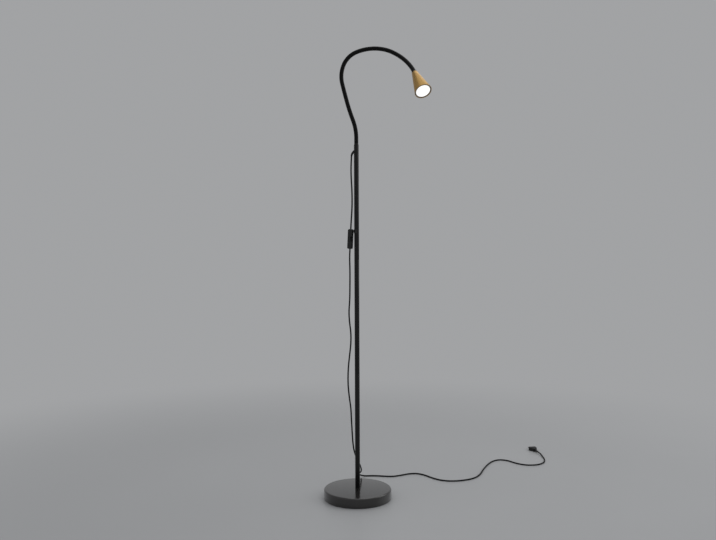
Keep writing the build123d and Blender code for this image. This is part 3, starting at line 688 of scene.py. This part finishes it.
@dataclass
class Neck:
    """The gooseneck's smooth sleeve: one length over each pivot."""

    radius: float = 0.0068
    last_length: float = 0.062
    last_turn: float = 18.8
    collar_height: float = 1.1645
    sides: int = 36
    steps: int = 14
    socket_cuts: int = 6
    bends: list[Bend] = field(default_factory=list)

    def trace(self) -> None:
        """Works out the neck's arcs from the pivots of its joints."""
        joints = [joint for joint in frame["joints"] if joint["name"].startswith("neck_bend")]
        pivots = [Vector(joint["pos_m"]) for joint in joints]
        heading = UP
        for start, end in zip(pivots, pivots[1:]):
            bend = Bend.between(start, end, heading)
            self.bends.append(bend)
            heading = bend.direction(1.0)
        turn = radians(self.last_turn)
        self.bends.append(Bend(pivots[-1], heading, self.bends[-1].axis, turn, self.last_length / turn))

    def head_frame(self) -> Matrix:
        """The frame of the head: its origin at the neck's end and its Z along the head's axis."""
        last = self.bends[-1]
        return facing(last.point(1.0), last.direction(1.0), last.axis)

    def build(self) -> None:
        """Builds the sleeve's lengths and lays each one over its pivot."""
        self.trace()
        foot = Vector((0, 0, self.collar_height))
        first = self.bends[0]
        shape, rim = self._ring(foot, UP)
        rim = draw_ring(shape, rim, first.start - foot)
        upright = [edge for edge in shape.edges if self._upright(edge)]
        bmesh.ops.subdivide_edges(shape, edges=upright, cuts=self.socket_cuts)
        self._sweep(shape, rim, first, 0.5)
        self._lay(shape, "neck_sleeve_0", first.point(0.5))
        for number, (bend, following) in enumerate(zip(self.bends, self.bends[1:]), start=1):
            middle = bend.point(0.5)
            shape, rim = self._ring(middle, bend.direction(0.5))
            rim = self._sweep(shape, rim, bend, 0.5)
            self._sweep(shape, rim, following, 0.5)
            name, end = f"neck_sleeve_{number}", following.point(0.5)
            sleeve = self._lay(shape, name, end)
            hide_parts(f"neck_link_{number}")
        last = self.bends[-1]
        shape, rim = self._ring(last.point(0.5), last.direction(0.5))
        self._sweep(shape, rim, last, 0.5)
        end = self._close(shape, "neck_sleeve_9")
        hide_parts("neck_link_9")
        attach(end, "neck_9")

    def _ring(self, origin: Vector, along: Vector) -> tuple[Shape, Ring]:
        """Starts a length of sleeve with a ring.

        Args:
            origin: The ring's middle.
            along: The sleeve's direction there.

        Returns:
            The new shape and the ring's edges.
        """
        shape = bmesh.new()
        place = facing(origin, along, Vector((0, 1, 0)))
        bmesh.ops.create_circle(shape, segments=self.sides, radius=self.radius, matrix=place)
        return shape, list(shape.edges)

    def _sweep(self, shape: Shape, rim: Ring, bend: Bend, share: float) -> Ring:
        """Carries a ring along part of an arc.

        Args:
            shape: The sleeve so far.
            rim: The ring at its end.
            bend: The arc.
            share: How much of the arc is covered.

        Returns:
            The ring at the new end.
        """
        swept = bmesh.ops.spin(
            shape, geom=rim, cent=bend.centre, axis=bend.axis, angle=bend.angle * share, steps=self.steps
        )
        return only(Edge, swept["geom_last"])

    def _upright(self, edge: Edge) -> bool:
        """Whether an edge runs up the socket."""
        return abs(edge.verts[0].co.z - edge.verts[1].co.z) > self.radius

    def _lay(
        self, shape: Shape, name: str, end: Vector
    ) -> Object:
        """Finishes a length that crosses a pivot.

        Args:
            shape: The length.
            name: The piece's name.
            end: Where it ends. Not used.

        Returns:
            The piece.
        """
        sleeve = self._close(shape, name)
        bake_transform(sleeve)
        return sleeve

    def _close(self, shape: Shape, name: str) -> Object:
        """Closes a length's ends and makes it a piece.

        Args:
            shape: The length.
            name: The piece's name.

        Returns:
            The piece.
        """
        bmesh.ops.remove_doubles(shape, verts=shape.verts, dist=MERGE_DISTANCE)
        bmesh.ops.holes_fill(shape, edges=shape.edges, sides=self.sides)
        bmesh.ops.recalc_face_normals(shape, faces=shape.faces)
        return as_piece(shape, name, Slot.NECK_SLEEVE)


# ---------------- head
@dataclass
class Head:
    """The conical shade and the lit face of its lamp."""

    length: float = 0.090
    back_radius: float = 0.0095
    rim_radius: float = 0.02748
    wall: float = 0.0012
    back_wall: float = 0.002
    nipple_radius: float = 0.00405
    back_rounding: float = 0.0014
    rim_rounding: float = 0.0005
    lens_radius: float = 0.02335
    lens_back: float = 0.0865
    lens_front: float = 0.0889
    lens_crown: float = 0.0003
    lens_profile: Outline = ((0.0, 0.0), (0.45, 0.2), (0.86, 1.0), (0.90, 2.4), (0.94, 1.0), (1.0, 2.0))

    def build(self, place: Matrix) -> None:
        """Builds the head at the neck's end.

        Args:
            place: The head's frame.
        """
        slope = (self.rim_radius - self.back_radius) / self.length
        inner_rim = self.rim_radius - self.wall
        inner_back = self.back_radius + slope * self.back_wall - self.wall
        outline = [
            (self.nipple_radius, 0.0),
            (self.back_radius, 0.0),
            (self.rim_radius, self.length),
            (inner_rim, self.length),
            (inner_back, self.back_wall),
            (self.nipple_radius, self.back_wall),
        ]
        shape = lathe(outline, closed=True, steps=128)
        round_ring(shape, self.back_radius, 0.0, self.back_rounding, segments=5)
        round_ring(shape, self.rim_radius, self.length, self.rim_rounding, segments=3)
        round_ring(shape, inner_rim, self.length, self.rim_rounding, segments=3)
        stand_in(shape, "shade_cone", "head_shell", Slot.SHADE_BRASS, "neck_9", place, turned=True)
        self._lens(place)

    def _lens(self, place: Matrix) -> None:
        """Builds the lit face, a shallow crown with a ring near its edge.

        The profile gives shares of the radius and how many crowns each lies below the front.

        Args:
            place: The head's frame.
        """
        edge, front = self.lens_radius, self.lens_front
        outline = [(edge * share, front - self.lens_crown * drop) for share, drop in self.lens_profile]
        outline += [(edge, self.lens_back), (0.0, self.lens_back)]
        shape = lathe(outline, steps=72)
        stand_in(shape, "lamp_face", "bulb_lens", Slot.BULB_GLOW, "neck_9", place, turned=True)


# ---------------- switch
@dataclass
class Switch:
    """The in-line switch's two halves. Local Z runs up it and local X out of its rocker's side."""

    centre: tuple[float, float, float] = (-0.02065, 0.0, 0.8505)
    lean: float = 2.68
    facing_angle: float = 30.0
    length: float = 0.065
    width: float = 0.0165
    depth: float = 0.0145
    side_radius: float = 0.0058
    end_radius: float = 0.0036
    seam: float = 0.00012
    window_length: float = 0.01508
    window_width: float = 0.0086
    window_depth: float = 0.0045

    def build(self) -> None:
        """Builds the two halves."""
        place = self._place()
        back = self._block()
        self._cut(back, -self.seam, keep_front=False)
        self._finish(back, "switch_back_half", "switch_back", place)
        cover = self._block()
        self._cut(cover, self.seam, keep_front=True)
        self._window(cover)
        self._finish(cover, "switch_front_half", "switch_cover", place)

    def _place(self) -> Matrix:
        """Works out the switch's frame, leaning with the cord and facing the room.

        Returns:
            The frame.
        """
        up = Vector((sin(radians(self.lean)), 0.0, cos(radians(self.lean))))
        out = Vector((sin(radians(self.facing_angle)), -cos(radians(self.facing_angle)), 0.0))
        out = (out - up * out.dot(up)).normalized()
        turn = Matrix((out, up.cross(out), up)).transposed().to_4x4()
        return Matrix.Translation(Vector(self.centre)) @ turn

    def _block(self) -> Shape:
        """Makes the whole switch as a rounded block.

        Returns:
            The block.
        """
        shape = bmesh.new()
        bmesh.ops.create_cube(shape, size=1.0)
        bmesh.ops.scale(shape, vec=(self.depth, self.width, self.length), verts=shape.verts)
        round_edges(shape, self._along, self.side_radius, segments=8)
        top = self.length / 2

        def at_end(edge: Edge) -> bool:
            """Whether an edge bounds one of the two ends."""
            return all(abs(abs(vert.co.z) - top) < MERGE_DISTANCE for vert in edge.verts)

        round_edges(shape, at_end, self.end_radius, segments=6)
        return shape

    def _along(self, edge: Edge) -> bool:
        """Whether an edge runs the switch's whole length."""
        return abs(edge.verts[0].co.z - edge.verts[1].co.z) > self.length * NEARLY

    def _cut(self, shape: Shape, level: float, keep_front: bool) -> None:
        """Cuts the block at the seam and closes it.

        Args:
            shape: The block.
            level: Where the cut is, along local X.
            keep_front: Whether the rocker's side stays.
        """
        bmesh.ops.bisect_plane(
            shape,
            geom=whole(shape),
            plane_co=(level, 0, 0),
            plane_no=(1, 0, 0),
            clear_inner=keep_front,
            clear_outer=not keep_front,
        )
        bmesh.ops.holes_fill(shape, edges=shape.edges, sides=0)

    def _window(self, shape: Shape) -> None:
        """Opens the rocker's window in the front half, with walls that go in.

        Args:
            shape: The front half.
        """
        half_length, half_width = self.window_length / 2, self.window_width / 2
        cuts = (
            ((0, 0, half_length), (0, 0, 1)),
            ((0, 0, -half_length), (0, 0, 1)),
            ((0, half_width, 0), (0, 1, 0)),
            ((0, -half_width, 0), (0, 1, 0)),
        )
        for point, normal in cuts:
            bmesh.ops.bisect_plane(shape, geom=whole(shape), plane_co=point, plane_no=normal)
        middle = self.depth / 4

        def in_window(face: Face) -> bool:
            """Whether a face lies over the window."""
            centre = face.calc_center_median()
            return centre.x > middle and abs(centre.y) < half_width and abs(centre.z) < half_length

        lid = [face for face in shape.faces if in_window(face)]
        sunk = bmesh.ops.extrude_face_region(shape, geom=lid)["geom"]
        bmesh.ops.delete(shape, geom=lid, context="FACES")
        for vert in only(Vert, sunk):
            vert.co.x = self.depth / 2 - self.window_depth

    def _finish(self, shape: Shape, name: str, node: str, place: Matrix) -> None:
        """Makes one half a piece in its place.

        Args:
            shape: The half.
            name: The piece's name.
            node: The solid that it stands for.
            place: The switch's frame.
        """
        settle(shape)
        stand_in(shape, name, node, Slot.SWITCH_PLASTIC, place=place)


# ---------------- cord and plug
@dataclass
class Cord:
    """The mains cord from the pole's relief, through the switch, to the plug."""

    radius: float = 0.0025
    length: float = 2.313
    relief_radius: float = 0.004
    tip_radius: float = 0.0031
    gland_mouth: tuple[float, float, float] = (-0.0105, 0.0, 1.135)
    gland_inner: tuple[float, float, float] = (-0.0045, 0.0, 1.141)
    rib_count: int = 5
    rib_depth: float = 0.00035
    sides: int = 28
    bevel_steps: int = 6
    line_steps: int = 10

    def build(self) -> None:
        curve = bpy.data.curves.new("mains_cord", "CURVE")
        curve.dimensions = "3D"
        curve.bevel_depth = self.radius
        curve.bevel_resolution = self.bevel_steps
        curve.resolution_u = self.line_steps
        curve.use_fill_caps = True
        spline = curve.splines.new("NURBS")
        spline.points.add(len(CORD_POINTS) - 1)
        for point, place in zip(spline.points, CORD_POINTS):
            point.co = (*place, 1.0)
        spline.order_u = 3
        spline.use_endpoint_u = True
        curve.materials.append(finish_of(Slot.CORD_SHEATH))
        cord = show("mains_cord", curve)
        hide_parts("cord_upper", "cord_lower")
        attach(cord, Body.STAND.value)
        relief = self._relief()

    def _relief(self) -> Object:
        """Builds the ribbed relief, which turns from the pole's wall down to the cord.

        Returns:
            The piece.
        """
        mouth, inner, tip = Vector(self.gland_mouth), Vector(self.gland_inner), Vector(CORD_POINTS[0])
        heading = (mouth - inner).normalized()
        bend = Bend.between(mouth, tip, heading)
        shape = bmesh.new()
        foot = facing(inner, heading, Vector((0, 1, 0)))
        bmesh.ops.create_circle(shape, segments=self.sides, radius=self.relief_radius, matrix=foot)
        rim = draw_ring(shape, list(shape.edges), mouth - inner)
        stages = 2 * self.rib_count
        turn = Matrix.Rotation(bend.angle / stages, 3, bend.axis)
        for stage in range(1, stages + 1):
            share = stage / stages
            rim = draw_ring(shape, rim, bend.point(share) - bend.point(share - 1 / stages))
            verts = list(dict.fromkeys(vert for edge in rim for vert in edge.verts))
            centre = bend.point(share)
            bmesh.ops.rotate(shape, verts=verts, cent=centre, matrix=turn)
            wanted = self.relief_radius + share * (self.tip_radius - self.relief_radius)
            if stage % 2:
                wanted -= self.rib_depth
            size = (wanted / (verts[0].co - centre).length,) * 3
            bmesh.ops.scale(shape, vec=size, space=Matrix.Translation(-centre), verts=verts)
        bmesh.ops.holes_fill(shape, edges=shape.edges, sides=self.sides)
        bmesh.ops.recalc_face_normals(shape, faces=shape.faces)
        return stand_in(shape, "cord_relief_ribbed", "cord_relief", Slot.PLUG_PLASTIC)


@dataclass
class Plug:
    """The flat two-pin plug at the cord's end. Local X runs along it and local Z is up."""

    relief_length: float = 0.024
    relief_radius: float = 0.0045
    relief_lip: float = 0.0005
    body_length: float = 0.038
    shoulder: float = 0.0274
    width: float = 0.034
    face_width: float = 0.026
    tail_width: float = 0.013
    thickness: float = 0.013
    corner_radius: float = 0.003
    face_rounding: float = 0.0024
    pin_radius: float = 0.002
    pin_length: float = 0.019
    pin_spacing: float = 0.0182
    pin_root: float = 0.002
    pin_rounding: float = 0.0014
    pin_sides: int = 28
    sleeve_length: float = 0.010
    sleeve_radius: float = 0.0019
    sleeve_play: float = 0.00015
    sleeve_root: float = 0.0005
    sleeve_rounding: float = 0.0002
    cord_radius: float = 0.0025
    grip_count: int = 4
    grip_depth: float = 0.0003
    grip_width: float = 0.0006

    def build(self) -> None:
        """Builds the plug's pieces at the cord's end."""
        start, before = Vector(CORD_POINTS[-1]), Vector(CORD_POINTS[-2])
        along = (start - before).normalized()
        side = UP.cross(along)
        turn = Matrix((along, side, along.cross(side))).transposed().to_4x4()
        place = Matrix.Translation(start) @ turn
        self._body(place)
        self._relief(place)
        face = self.relief_length + self.body_length
        root, length = self.pin_root, self.pin_length + self.pin_root
        pins = self._pair(face - root, length, self.pin_radius, self.pin_rounding)
        stand_in(pins, "plug_pin_pair", "plug_pins", Slot.ZINC_STEEL, place=place)
        root, length = self.sleeve_root, self.sleeve_length + self.sleeve_root
        radius = self.sleeve_radius + self.sleeve_play
        sleeves = self._pair(face - root, length, radius, self.sleeve_rounding)
        stand_in(sleeves, "plug_sleeve_pair", "plug_sleeves", Slot.PLUG_PLASTIC, place=place)

    def _body(self, place: Matrix) -> None:
        """Builds the moulded body.

        Args:
            place: The plug's frame.
        """
        back, face = self.relief_length, self.relief_length + self.body_length
        half = (
            (back, self.tail_width / 2),
            (back + self.shoulder, self.width / 2),
            (face, self.face_width / 2),
        )
        ring = list(half) + [(x, -y) for x, y in reversed(half)]
        low = -Vector(CORD_POINTS[-1]).z
        shape = bmesh.new()
        corners = [shape.verts.new((x, y, low)) for x, y in ring]
        base = shape.faces.new(corners)
        raised = bmesh.ops.extrude_face_region(shape, geom=[base])["geom"]
        bmesh.ops.translate(shape, verts=only(Vert, raised), vec=(0, 0, self.thickness))
        bmesh.ops.recalc_face_normals(shape, faces=shape.faces)
        levels = (low, low + self.thickness)

        def upright(edge: Edge) -> bool:
            """Whether an edge runs from the underside to the top."""
            return abs(edge.verts[0].co.z - edge.verts[1].co.z) > self.thickness * NEARLY

        def on_rim(edge: Edge) -> bool:
            """Whether an edge bounds the top or the underside."""
            return any(all(abs(vert.co.z - at) < MERGE_DISTANCE for vert in edge.verts) for at in levels)

        round_edges(shape, upright, self.corner_radius, segments=6)
        round_edges(shape, on_rim, self.face_rounding, segments=6)
        stand_in(shape, "plug_shell", "plug_body", Slot.PLUG_PLASTIC, place=place)

    def _relief(self, place: Matrix) -> None:
        """Builds the tapered relief behind the body, with its rings.

        Args:
            place: The plug's frame.
        """
        tip = self.cord_radius + self.relief_lip
        outline: list[tuple[float, float]] = [(0.0, 0.0)]
        stages = 2 * self.grip_count
        for stage in range(stages + 1):
            share = stage / stages
            radius = tip + share * (self.relief_radius - tip)
            level = share * self.relief_length
            outline.append((radius, level))
            if stage < stages:
                outline.append((radius - self.grip_depth, level + self.grip_width))
        outline.append((0.0, self.relief_length))
        shape = lathe(outline, steps=32)
        stand_in(shape, "plug_relief_cone", "plug_relief", Slot.PLUG_PLASTIC, place=place @ ALONG_X)

    def _pair(self, start: float, length: float, radius: float, rounding: float) -> Shape:
        """Makes two equal round pins side by side.

        Args:
            start: Where they start, along the plug.
            length: Their length.
            radius: Their radius.
            rounding: The rounding of their far ends.

        Returns:
            The two pins in the plug's frame.
        """
        shape = bmesh.new()
        for side in (-1, 1):
            middle = Vector((start + length / 2, side * self.pin_spacing / 2, 0))
            bmesh.ops.create_cone(
                shape,
                cap_ends=True,
                segments=self.pin_sides,
                radius1=radius,
                radius2=radius,
                depth=length,
                matrix=Matrix.Translation(middle) @ ALONG_X,
            )
        tip = start + length

        def at_tip(edge: Edge) -> bool:
            """Whether an edge bounds a pin's far end."""
            return all(abs(vert.co.x - tip) < MERGE_DISTANCE for vert in edge.verts)

        round_edges(shape, at_tip, rounding, segments=4)
        return shape


# ---------------- studio
@dataclass(frozen=True)
class Lamp:
    """A soft square light: its place, the point that it faces, its side and its power in watts."""

    name: str
    place: Place
    aim: Place
    size: float
    power: float

    def light(self) -> None:
        """Adds the light to the scene."""
        data = bpy.data.lights.new(self.name, "AREA")
        data.size = self.size
        data.energy = self.power
        light = show(self.name, data)
        light.location = self.place
        way = Vector(self.aim) - Vector(self.place)
        light.rotation_euler = way.to_track_quat("-Z", "Y").to_euler()


LAMPS = (
    Lamp("top", (0.7, -0.4, 3.4), (0.1, 0.0, 0.7), 3.4, 17.0),
    Lamp("side", (2.9, 0.3, 1.9), (0.0, 0.0, 0.8), 2.2, 15.0),
    Lamp("back", (0.6, 2.0, 3.3), (0.0, 0.0, 0.8), 2.4, 14.0),
)


@dataclass
class Studio:
    """The pale floor, the soft lights and the camera."""

    camera_place: Place = (0.004, -2.289, 0.7485)
    camera_roll: float = 0.23
    lens: float = 35.0
    sensor: float = 36.0
    backdrop: Colour = (0.36, 0.365, 0.373)
    ground: Colour = (0.42, 0.425, 0.435)
    ground_strength: float = 1.25
    floor_radius: float = 9.0
    floor_sides: int = 96
    fade_start: float = 0.9
    fade_end: float = 2.6

    def build(self) -> None:
        """Builds the stage."""
        self._camera()
        self._world()
        self._floor()
        for lamp in LAMPS:
            lamp.light()

    def _camera(self) -> None:
        """Puts the camera where the photograph was taken from."""
        data = bpy.data.cameras.new("camera")
        data.lens = self.lens
        data.sensor_width = self.sensor
        camera = show("camera", data)
        camera.location = self.camera_place
        camera.rotation_euler = Euler((pi / 2, radians(self.camera_roll), 0.0))
        bpy.context.scene.camera = camera

    def _world(self) -> None:
        """Makes a pale background that gives only a soft light itself."""
        world = bpy.data.worlds.new("studio")
        bpy.context.scene.world = world
        world.use_nodes = True
        tree = world.node_tree
        ground = tree.nodes["Background"]
        ground.inputs["Color"].default_value = (*self.ground, 1.0)
        ground.inputs["Strength"].default_value = self.ground_strength
        seen = add_node(tree, "ShaderNodeBackground", {"Color": (*self.backdrop, 1.0)})
        mixed = {"Fac": self._seen(tree), 1: ground.outputs["Background"], 2: seen.outputs["Background"]}
        mixer = add_node(tree, "ShaderNodeMixShader", mixed)
        feed(tree, tree.nodes["World Output"], {"Surface": mixer.outputs["Shader"]})

    def _seen(self, tree: Tree) -> bpy.types.NodeSocket:
        """Adds a value that is 1 for rays that show the background.

        Args:
            tree: The node tree.

        Returns:
            The socket with that value.
        """
        path = add_node(tree, "ShaderNodeLightPath")
        total = path.outputs["Is Camera Ray"]
        for kind in ("Is Glossy Ray", "Is Transmission Ray"):
            pair = {0: total, 1: path.outputs[kind]}
            total = add_node(tree, "ShaderNodeMath", pair, operation="MAXIMUM").outputs["Value"]
        return total

    def _floor(self) -> None:
        """Lays the floor, which fades into the background away from the lamp."""
        shape = bmesh.new()
        bmesh.ops.create_circle(
            shape, cap_ends=True, segments=self.floor_sides, radius=self.floor_radius
        )
        mesh = bpy.data.meshes.new("floor")
        shape.to_mesh(mesh)
        shape.free()
        mesh.materials.append(self._floor_material())
        floor = show("floor", mesh)
        floor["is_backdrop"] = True

    def _floor_material(self) -> Material:
        """Makes the floor's material: pale ground concrete with a soft gloss.

        Returns:
            The material.
        """
        material = FLOOR_FINISH.material("floor")
        tree = material.node_tree
        where = {0: add_node(tree, "ShaderNodeTexCoord").outputs["Object"]}
        distance = add_node(tree, "ShaderNodeVectorMath", where, operation="LENGTH")
        ends = {"From Min": self.fade_start, "From Max": self.fade_end}
        ends["Value"] = distance.outputs["Value"]
        fade = add_node(tree, "ShaderNodeMapRange", ends, interpolation_type="SMOOTHSTEP")
        far = add_node(tree, "ShaderNodeEmission", {"Color": (*self.backdrop, 1.0)})
        pair = {0: fade.outputs["Result"], 1: self._seen(tree)}
        shown = add_node(tree, "ShaderNodeMath", pair, operation="MULTIPLY")
        near = tree.nodes["Principled BSDF"]
        mixed = {"Fac": shown.outputs["Value"], 1: near.outputs["BSDF"], 2: far.outputs["Emission"]}
        mixer = add_node(tree, "ShaderNodeMixShader", mixed)
        feed(tree, tree.nodes["Material Output"], {"Surface": mixer.outputs["Shader"]})
        return material


def dress_nodes() -> None:
    """Gives every node of the frame the finish of its material slot, and the rocker its own gloss, darkened to
    near black as painted shade for its recess.
    """
    for part in frame["record"]["subparts"]:
        node = frame["nodes"][part["node"]]
        node.data.materials.clear()
        node.data.materials.append(finish_of(Slot(part["material_slot"])))
    rocker = frame["nodes"]["switch_rocker"].data.materials
    rocker.clear()
    rocker.append(ROCKER_GLOSS_AND_SHADE.material("rocker_gloss_and_painted_shade"))


def corners() -> list[list[float]]:
    """The lowest and highest corner of what is shown, as plain lists."""
    return [list(corner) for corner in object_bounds()]


def main() -> None:
    """Builds the lamp's looks in order."""
    logging.basicConfig(level=logging.INFO, format="%(name)s: %(message)s")
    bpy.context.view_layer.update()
    bpy.context.scene.view_settings.view_transform = "Standard"
    Studio().build()
    Switch().build()
    Plug().build()
    Cord().build()
    Foot().build()
    Pole().build()
    neck = Neck()
    neck.build()
    Head().build(neck.head_frame())
    dress_nodes()


if __name__ == "__main__":
    main()
